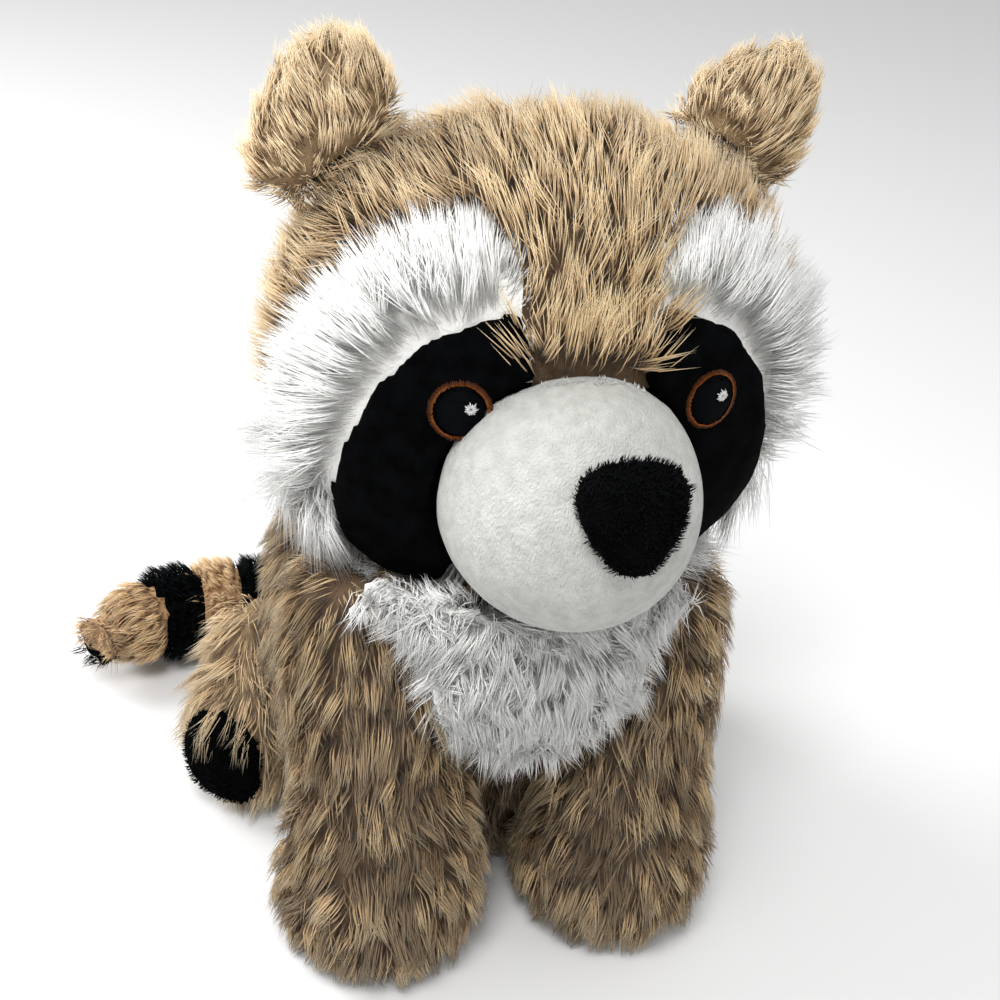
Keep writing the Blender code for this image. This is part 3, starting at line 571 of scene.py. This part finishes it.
# Front legs: straight sleeves of the brown fabric, sewn to the body's front at the shoulder and broad at
# the paw. Each is filled firmly, and its pile hangs down it.
for side in ("right", "left"):
    other = "left" if side == "right" else "right"
    cloth = backing("front_leg_backing_" + side, ["front_leg_stuffing_" + side], CLOTH_THICKNESS)
    skin = new_piece(cloth.name, cloth, brown_cloth, ["front_leg_stuffing_" + side])
    place, normal = roots_on(cloth, BODY_PILE["spacing"])
    others = ["body_stuffing", "head_stuffing", "front_leg_stuffing_" + other]
    kept = (place[:, 2] > FLOOR_CLEARANCE) & clear_of(place, others)
    pile(
        "front_leg_pile_" + side, place[kept], normal[kept], lying(DOWNWARD), BODY_PILE, brown_pile,
        "front_leg_" + side,
    )

# Chest bib: a patch of long white pile let into the body's front between the legs. It fans out and down
# from under the chin.
WHITE_PILE = {
    "root": (0.910, 0.905, 0.880),
    "middle": (0.955, 0.950, 0.925),
    "tip": (0.970, 0.970, 0.950),
    "shade": (0.96, 0.96, 0.955),
}
BIB_PILE = {
    **BODY_PILE, "length": 0.021, "spacing": 0.00095, "rise": (0.90, 1.20), "stray": 0.40, "loose": 0.0045,
    "laps": (), "hang": 0.005,
}
THROAT = (0.000, -0.020, 0.168)
BIB_BACK = 0.80


def away_from(point, calm=0.030):
    """Pile that lies outward from a point, and less surely the nearer to it."""
    def flow(places):
        away = places - np.array(point)
        return away / np.maximum(np.linalg.norm(away, axis=1, keepdims=True), calm)

    return flow


white_pile = pile_finish("white long pile", WHITE_PILE, glow=0.5)
white_cloth = cloth_finish("white matted pile", (0.80, 0.79, 0.765), (0.89, 0.88, 0.855))
cloth = backing("chest_bib_backing", ["chest_bib"], swell=-0.0075, rounds=10, step=0.0026)
skin = new_piece(cloth.name, cloth, white_cloth, [])
place, normal = roots_on(cloth, BIB_PILE["spacing"])
kept = normal[:, 1] < BIB_BACK
pile(
    "chest_bib_pile", place[kept], normal[kept], away_from(THROAT), BIB_PILE, white_pile,
    "chest_bib",
)

# Hind legs: short filled haunches at the body's sides that end in feet turned to the front, with an oval
# of black short pile sewn on each sole.
FOOT_LIE = (0.25, -0.30, -0.90)
UPWARD = (0, 0, 1)
SEAM_ROOM = 0.0005
SOLE_BACK = 0.3
HIND_PILE = {
    # A high tone leaves the haunch pile at full colour: painted light.
    **BODY_PILE, "length": 0.025, "spacing": 0.00120, "tone": 0.95, "patchy": 0.20, "loose": 0.0050,
    "hang": 0.008, "laps": ("body", "front", "tail", "sole"),
}
BLACK_PILE = {
    "root": (0.0015, 0.0018, 0.0020),
    "middle": (0.0022, 0.0030, 0.0034),
    "tip": (0.0055, 0.0075, 0.0090),
    "shade": (0.60, 0.60, 0.62),
}
SHORT_BLACK_PILE = {
    "length": 0.0022,
    "width": 0.00040,
    "spacing": 0.00095,
    "lock": 0.0026,
    "rise": (0.80, 1.10),
    "bow": 0.4,
    "stray": 0.35,
    "pull": (0.0, 0.4),
    "tone": 0.50,
    "patchy": 0.16,
    "hang": 0.0,
    "least": 0.75,
    "loose": 0.0005,
    "outside": 1.0,
    "laps": (),
}


def under(places, normals, node, reach=0.015):
    """Which places have a CAD solid above them."""
    tree = solid_tree(node)
    rays = zip(places, normals)
    return np.array([tree.ray_cast(Vector(place), Vector(way), reach)[0] is not None for place, way in rays])


black_pile = pile_finish("black pile", BLACK_PILE, roughness=0.7, gloss=0.04, sheen=0.0)
black_cloth = cloth_finish(
    "black matted pile", (0.0008, 0.0009, 0.0010), (0.0022, 0.0024, 0.0028), gloss=0.015
)
for side, sign in (("right", -1), ("left", 1)):
    cloth = backing("hind_leg_backing_" + side, ["hind_leg_stuffing_" + side], CLOTH_THICKNESS)
    # The haunches take the paler copy of the brown pile and backing: painted light.
    skin = new_piece(cloth.name, cloth, lit_brown_cloth, ["hind_leg_stuffing_" + side])
    place, normal = roots_on(cloth, HIND_PILE["spacing"])
    others = ["body_stuffing", "front_leg_stuffing_" + side, "tail_stuffing", "sole_" + side]
    kept = (place[:, 2] > FLOOR_CLEARANCE) & clear_of(place, others, SEAM_ROOM)
    kept &= ~under(place, normal, "sole_" + side)
    way = (sign * FOOT_LIE[0], FOOT_LIE[1], FOOT_LIE[2])
    pile(
        "hind_leg_pile_" + side, place[kept], normal[kept], lying(way), HIND_PILE, lit_brown_pile,
        "hind_leg_" + side,
    )
    cloth = backing("sole_backing_" + side, ["sole_" + side], swell=0.0010, rounds=4, step=0.0012)
    sole = new_piece(cloth.name, cloth, black_cloth, [])
    place, normal = roots_on(cloth, SHORT_BLACK_PILE["spacing"])
    kept = normal[:, 1] < SOLE_BACK
    pile(
        "sole_pile_" + side, place[kept], normal[kept], lying(UPWARD), SHORT_BLACK_PILE, black_pile,
        "sole_" + side,
    )

# Tail: a stuffed tube of dense shorter pile, tan with two black bands and a black tip, curled round to
# the right side. The bands are sewn in, so the colours meet at a seam.
TAN_PILE = {
    "root": (0.340, 0.200, 0.100),
    "middle": (0.690, 0.460, 0.245),
    "tip": (0.900, 0.700, 0.430),
    "shade": (0.66, 0.60, 0.56),
}
TAIL_PILE = {
    **BODY_PILE, "length": 0.0092, "width": 0.00046, "spacing": 0.00092, "lock": 0.0030,
    "rise": (0.92, 1.05), "stray": 0.20, "pull": (0.20, 0.60), "tone": 0.85, "patchy": 0.16,
    "loose": 0.0010, "laps": (),
}
END_PILE = {**TAIL_PILE, "length": 0.0140, "laps": ("tail_tip",)}
TIP_PILE = {**TAIL_PILE, "length": 0.0095, "spacing": 0.0008, "loose": 0.0025}
TAIL_CURL_CENTRE = (-0.0755, 0.0375, 0.0)
DARK_END_SIDE = -0.124
DARK_END_HEIGHT = 0.019
TAIL_CLEARANCE = 0.002
TAIL_ROOT_SHARE = 0.45
TAIL_PIECES = [
    ("tail_root", "tan"), ("tail_band_inner", "black"), ("tail_middle", "tan"),
    ("tail_band_outer", "black"), ("tail_end", "tan"), ("tail_tip", "black"),
]


def owners(places, nodes):
    """For each place, the number of the CAD solid that it belongs to."""
    return np.argmin([depth_in(node, places) for node in nodes], axis=0)


def round_the_tail(places):
    """Pile that follows the tail's curve towards its tip."""
    return unit(np.cross((0.0, 0.0, 1.0), places * (1, 1, 0) - TAIL_CURL_CENTRE))


def dark_end(places):
    """Whether a place is on the tail's black tip, which faces back and down."""
    return (places[:, 0] < DARK_END_SIDE) & (places[:, 2] < DARK_END_HEIGHT)


tan_pile = pile_finish("tan tail pile", TAN_PILE)
tan_cloth = cloth_finish("tan matted pile", (0.300, 0.180, 0.092), (0.420, 0.260, 0.135))
cloth = backing("tail_backing", ["tail_stuffing"], CLOTH_THICKNESS, rounds=4)
skin = new_piece(cloth.name, cloth, tan_cloth, ["tail_stuffing"])
cloth.materials.append(black_cloth)
tail_nodes = [node for node, _ in TAIL_PIECES]
patch = owners(numbers(cloth.polygons, "center", 3), tail_nodes) % 2
cloth.polygons.foreach_set("material_index", patch.astype(np.int32))
tip_cloth = backing("tail_tip_backing", ["tail_tip"], swell=-0.0065, rounds=8, step=0.0015)
tip_skin = new_piece(tip_cloth.name, tip_cloth, tan_cloth, [])
tip_cloth.materials.append(black_cloth)
patch = dark_end(numbers(tip_cloth.polygons, "center", 3))
tip_cloth.polygons.foreach_set("material_index", patch.astype(np.int32))
place, normal = roots_on(cloth, TAIL_PILE["spacing"])
tip_place, tip_normal = roots_on(tip_cloth, TIP_PILE["spacing"])
place, normal = np.vstack([place, tip_place]), np.vstack([normal, tip_normal])
kept = (place[:, 2] > TAIL_CLEARANCE) & clear_of(place, ["body_stuffing"])
place, normal = place[kept], normal[kept]
owner = owners(place, tail_nodes)
pale = (owner == tail_nodes.index("tail_tip")) & ~dark_end(place)
pile(
    "tail_tip_cover", place[pale], normal[pale], round_the_tail, TIP_PILE, tan_pile,
    "tail_tip", stands_in=False,
)
owner[pale] = -1
for number, (node, colour) in enumerate(TAIL_PIECES):
    mine = owner == number
    if node == "tail_root":
        mine &= rng.random(len(mine)) < TAIL_ROOT_SHARE
    finish = tan_pile if colour == "tan" else black_pile
    kind = {"tail_end": END_PILE, "tail_tip": TIP_PILE}.get(node, TAIL_PILE)
    pile(node + "_pile", place[mine], normal[mine], round_the_tail, kind, finish, node)

# Head: a firmly filled ball of brown pile with a wedge down between the eyes, a long white ruff at each
# cheek and brow, and set-in black eye masks.
HEAD_SPACING = 0.00090
MASK_EDGE = 0.003
# The numbers of the black and the white material on the head's backing, which is brown elsewhere.
BLACK_PATCH = 1
WHITE_PATCH = 2
CROWN_SHARE = 0.43
CROWN_PILE = {
    **BODY_PILE, "length": 0.024, "width": 0.00046, "lock": 0.0054, "rise": (1.00, 1.26),
    # A high tone: the crown is painted lighter than the body and legs, painted light from above.
    "pull": (0.10, 0.50), "tone": 0.90, "patchy": 0.11, "loose": 0.0055,
}
RUFF_PILE = {
    **BODY_PILE, "length": 0.034, "width": 0.00042, "lock": 0.0050, "rise": (0.98, 1.20), "stray": 0.22,
    "pull": (0.05, 0.40), "patchy": 0.10, "loose": 0.0070, "laps": ("body", "front", "chest"), "hang": 0.016,
    "outside": 0.30,
}
FRINGE_TOP = 0.178
FRINGE_BLEND = 0.007
FRINGE_LIE = (0.45, -0.30, -0.85)
FRINGE_PILE = {**RUFF_PILE, "loose": 0.0140, "laps": (), "hang": 0.0}
FOREHEAD_WHORL = (0.004, -0.098, 0.204)
WEDGE_MIDDLE = 0.006
WEDGE_REACH = 0.024
WEDGE_TOP = 0.238
EYE_PLACES = {"right": (-0.030, -0.076, 0.212), "left": (0.042, -0.076, 0.212)}
HEAD_PIECES = ["head_crown", "cheek_ruff_right", "cheek_ruff_left", "eye_mask_right", "eye_mask_left"]


def on_wedge(places):
    """Which places are on the brown wedge between the eyes, or beside it."""
    return (np.abs(places[:, 0] - WEDGE_MIDDLE) < WEDGE_REACH) & (places[:, 2] < WEDGE_TOP)


def head_owners(places):
    """The head piece that each place belongs to. The wedge between the eyes is brown right to the masks."""
    found = owners(places, HEAD_PIECES)
    found[on_wedge(places) & np.isin(found, (1, 2))] = 0
    return found


cloth = backing("head_backing", ["head_stuffing"], CLOTH_THICKNESS)
skin = new_piece(cloth.name, cloth, brown_cloth, ["head_stuffing"])
cloth.materials.append(black_cloth)
cloth.materials.append(white_cloth)
middles = numbers(cloth.polygons, "center", 3)
patch = np.array([0, WHITE_PATCH, WHITE_PATCH, BLACK_PATCH, BLACK_PATCH])[head_owners(middles)]
patch[(patch == BLACK_PATCH) & ~clear_of(middles, HEAD_PIECES[1:3], MASK_EDGE)] = WHITE_PATCH
cloth.polygons.foreach_set("material_index", patch.astype(np.int32))
place, normal = roots_on(cloth, HEAD_SPACING)
kept = clear_of(place, ["body_stuffing", "muzzle", "muzzle_stuffing"])
place, normal = place[kept], normal[kept]
owner = head_owners(place)
mine = (owner == 0) & (on_wedge(place) | (rng.random(len(place)) < CROWN_SHARE))
pile(
    "head_crown_pile", place[mine], normal[mine], away_from(FOREHEAD_WHORL), CROWN_PILE, brown_pile,
    "head_crown",
)
for number, side, sign in ((1, "right", -1), (2, "left", 1)):
    mine = owner == number
    low = mine & (place[:, 2] < FRINGE_TOP + rng.normal(0.0, FRINGE_BLEND, len(place)))
    mine &= ~low
    pile(
        "cheek_ruff_pile_" + side, place[mine], normal[mine], away_from(EYE_PLACES[side]), RUFF_PILE,
        white_pile, "cheek_ruff_" + side,
    )
    way = (sign * FRINGE_LIE[0], FRINGE_LIE[1], FRINGE_LIE[2])
    pile(
        "cheek_ruff_fringe_" + side, place[low], normal[low], lying(way), FRINGE_PILE,
        white_pile, "cheek_ruff_" + side, stands_in=False,
    )

# Eye masks: padded panels of black short pile sewn into the head, one at each side of the wedge. They
# lie a little below the long pile round them.
for side in ("right", "left"):
    cloth = backing("eye_mask_backing_" + side, ["eye_mask_" + side], swell=0.0014, rounds=7, step=0.0022)
    skin = new_piece(cloth.name, cloth, black_cloth, ["eye_mask_" + side])

# Eyes: embroidered on the masks. Shiny copper thread runs outward all round a pupil of parallel black
# stitches, and a small rosette of white ones makes the glint.
THREAD_WIDTH = 0.00050
RING_INSET = 0.0015
STITCH_LIFT = 0.0007
STITCH_TURNS = 6
STITCH_SINK = 0.15
RAY_START = 0.01
RING_THREADS = 110
THREAD_UNEVEN = 0.00012
PUPIL_THREAD_STEP = 0.7
GLINT_THREADS = 14
GLINT_HOLE = 0.0002
GLINT_REACHES = (0.86, 1.12)
# The copper thread is painted bright at its inner end, a painted highlight round the ring's inner edge, and
# is dark brown at its outer end.
COPPER = {
    "root": (0.300, 0.085, 0.012),
    "middle": (0.085, 0.022, 0.003),
    "tip": (0.040, 0.010, 0.001),
    "shade": (0.45, 0.40, 0.35),
}
BLACK = {
    "root": (0.0010, 0.0013, 0.0018),
    "middle": (0.0020, 0.0026, 0.0034),
    "tip": (0.0010, 0.0013, 0.0018),
    "shade": (0.60, 0.60, 0.60),
}
WHITE = {
    "root": (0.450, 0.450, 0.440),
    "middle": (0.700, 0.700, 0.690),
    "tip": (0.600, 0.600, 0.590),
    "shade": (0.75, 0.75, 0.75),
}
stitch_shares = (1 - np.cos(np.linspace(0, math.pi, STITCH_TURNS + 1))) / 2


def face_of(node):
    """The middle of a flat CAD piece, two directions across it, the way it faces, and its corners' radii."""
    corners = numbers(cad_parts[node].data.vertices, "co", 3).astype(float)
    middle = (corners.min(0) + corners.max(0)) / 2
    out = np.linalg.svd(corners - middle)[2][2]
    out *= -np.sign(out[1])
    across = unit(np.cross(out, (0.0, 0.0, 1.0)))
    rise = np.cross(across, out)
    radii = np.hypot((corners - middle) @ across, (corners - middle) @ rise)
    return middle, across, rise, out, radii


def stitches(name, node, ends, finish):
    """Threads that lie on the face of a CAD piece between pairs of points given across it and up it."""
    middle, across, rise, out, _ = face_of(node)
    shape = bmesh.new()
    bmesh.ops.create_uvsphere(shape, u_segments=6, v_segments=STITCH_TURNS, radius=1.0)
    corners = np.array([vertex.co for vertex in shape.verts])
    faces = [[vertex.index for vertex in face.verts] for face in shape.faces]
    shape.free()
    ends = np.array(ends, float)
    flat = ends[:, None, 0] + (ends[:, None, 1] - ends[:, None, 0]) * stitch_shares[None, :, None]
    paths = middle + flat[..., :1] * across + flat[..., 1:] * rise
    tree = solid_tree(node)
    for row in paths:
        for place in row:
            found = tree.ray_cast(Vector(place + out * RAY_START), Vector(-out), 2 * RAY_START)[0]
            if found is not None:
                place[:] = found
    height = STITCH_LIFT + THREAD_WIDTH * (STITCH_SINK + 0.5 * stitch_shares * (1 - stitch_shares))
    paths += out * height[None, :, None]
    side = unit(np.cross(paths[:, -1] - paths[:, 0], out))[:, None, :]
    station = np.rint(np.arccos(np.clip(-corners[:, 2], -1, 1)) / math.pi * STITCH_TURNS).astype(int)
    round_it = corners[:, :2] / np.sqrt(np.maximum(np.hypot(corners[:, 0], corners[:, 1]), 1e-6))[:, None]
    around = round_it[None, :, :1] * side - round_it[None, :, 1:] * out
    points = paths[:, station] + THREAD_WIDTH / 2 * around
    corners[:, 2] = stitch_shares[station]
    tone = np.clip(rng.normal(0.6, 0.2, len(ends)), *TONE_ENDS)
    write_pile(name, points, corners, faces, tone, finish, [node])


copper = pile_finish("copper thread", COPPER, roughness=0.40, gloss=0.12, sheen=0.0)
black_thread = pile_finish("black thread", BLACK, roughness=0.60, gloss=0.03, sheen=0.0)
white_thread = pile_finish("white thread", WHITE, roughness=0.50, gloss=0.3, sheen=0.0)
for side in ("right", "left"):
    radii = face_of("iris_ring_" + side)[4]
    ends = []
    for turn in np.linspace(0, 2 * math.pi, RING_THREADS, endpoint=False):
        way = np.array((math.cos(turn), math.sin(turn)))
        inner, outer = np.array((radii.min() + RING_INSET, radii.max())) + rng.normal(0, THREAD_UNEVEN, 2)
        ends.append((way * inner, way * outer))
    stitches("iris_ring_stitches_" + side, "iris_ring_" + side, ends, copper)
    radius = radii.min() + RING_INSET - THREAD_WIDTH / 2
    ends = []
    for level in np.arange(-radius, radius, THREAD_WIDTH * PUPIL_THREAD_STEP):
        half = math.sqrt(radius**2 - level**2)
        ends.append(((-half, level), (half, level)))
    stitches("pupil_stitches_" + side, "pupil_" + side, ends, black_thread)
    radius = face_of("eye_glint_" + side)[4].max()
    ends = []
    for number in range(GLINT_THREADS):
        turn = number / GLINT_THREADS * 2 * math.pi
        way = np.array((math.cos(turn), math.sin(turn)))
        ends.append((way * GLINT_HOLE, way * radius * GLINT_REACHES[number % 2]))
    stitches("eye_glint_stitches_" + side, "eye_glint_" + side, ends, white_thread)

# Muzzle: a smooth stuffed dome of white short pile, sewn on over the masks and the brown wedge. Only its
# rim and the nose's seam show single fibres.
# The white plush and its rim fibres are dimmed to light grey: painted shade for the shadow inside a pile
# that the smooth cloth doesn't cast.
MUZZLE_PILE_COLOURS = {
    "root": (0.640, 0.640, 0.610),
    "middle": (0.700, 0.700, 0.670),
    "tip": (0.740, 0.740, 0.710),
    "shade": (0.94, 0.94, 0.94),
}
MUZZLE_PILE = {**SHORT_BLACK_PILE, "spacing": 0.00060, "length": 0.0020, "width": 0.00030, "loose": 0.0010}
MUZZLE_RIM = 0.0014
NOSE_PLACE = (0.006, -0.128, 0.206)

short_white_pile = pile_finish("white short pile", MUZZLE_PILE_COLOURS, glow=0.6)
# The plush's grey is painted shade on a white cloth.
muzzle_cloth = cloth_finish(
    "white plush", (0.48, 0.48, 0.455), (0.57, 0.57, 0.545), bump=0.0016, grain=1500.0, nap=(1.0, 1.0, 0.40)
)
cloth = backing("muzzle_backing", ["muzzle", "muzzle_stuffing"], swell=-0.0006, rounds=20, step=0.0026)
skin = new_piece(cloth.name, cloth, muzzle_cloth, ["muzzle", "muzzle_stuffing"])
place, normal = roots_on(cloth, MUZZLE_PILE["spacing"])
seams = ["head_crown", "eye_mask_right", "eye_mask_left", "nose"]
kept = clear_of(place, ["head_stuffing"] + seams) & ~clear_of(place, seams, MUZZLE_RIM)
pile(
    "muzzle_pile", place[kept], normal[kept], away_from(NOSE_PLACE), MUZZLE_PILE, short_white_pile,
    "muzzle", stands_in=False,
)

# Nose: a padded triangle of black velvet with soft corners, sewn to the muzzle's upper front. Its nap
# stands up and to one side.
NOSE_PILE = {**SHORT_BLACK_PILE, "spacing": 0.00078}
NOSE_LIE = (0.3, 0, 1)

velvet = cloth_finish("black velvet", (0.0010, 0.0010, 0.0010), (0.0024, 0.0024, 0.0024), gloss=0.03)
cloth = backing("nose_backing", ["nose"], swell=0.0003, rounds=6, step=0.0011)
skin = new_piece(cloth.name, cloth, velvet, [])
place, normal = roots_on(cloth, NOSE_PILE["spacing"])
kept = clear_of(place, ["muzzle", "muzzle_stuffing"])
pile(
    "nose_pile", place[kept], normal[kept], lying(NOSE_LIE), NOSE_PILE, black_pile,
    "nose",
)

# Ears: flat pouches of the brown pile with almost no filling, sewn into the head's upper sides. They are
# shaggy all round.
EAR_PILE = {
    **BODY_PILE, "length": 0.017, "width": 0.00046, "spacing": 0.00100, "rise": (0.92, 1.12),
    # The ears' highest tone leaves their pile at full colour: painted light.
    "pull": (0.15, 0.60), "tone": 1.05, "patchy": 0.12, "loose": 0.0060,
}
EAR_ROOTS = {"right": (-0.052, -0.012, 0.250), "left": (0.058, -0.012, 0.250)}

for side in ("right", "left"):
    cloth = backing("ear_backing_" + side, ["ear_" + side], swell=-0.0035, rounds=14, step=0.0024)
    # The ears take the paler copy of the brown pile and backing: painted light.
    skin = new_piece(cloth.name, cloth, lit_brown_cloth, [])
    place, normal = roots_on(cloth, EAR_PILE["spacing"])
    kept = clear_of(place, ["head_crown", "head_stuffing"])
    pile(
        "ear_pile_" + side, place[kept], normal[kept], away_from(EAR_ROOTS[side]), EAR_PILE, lit_brown_pile,
        "ear_" + side,
    )
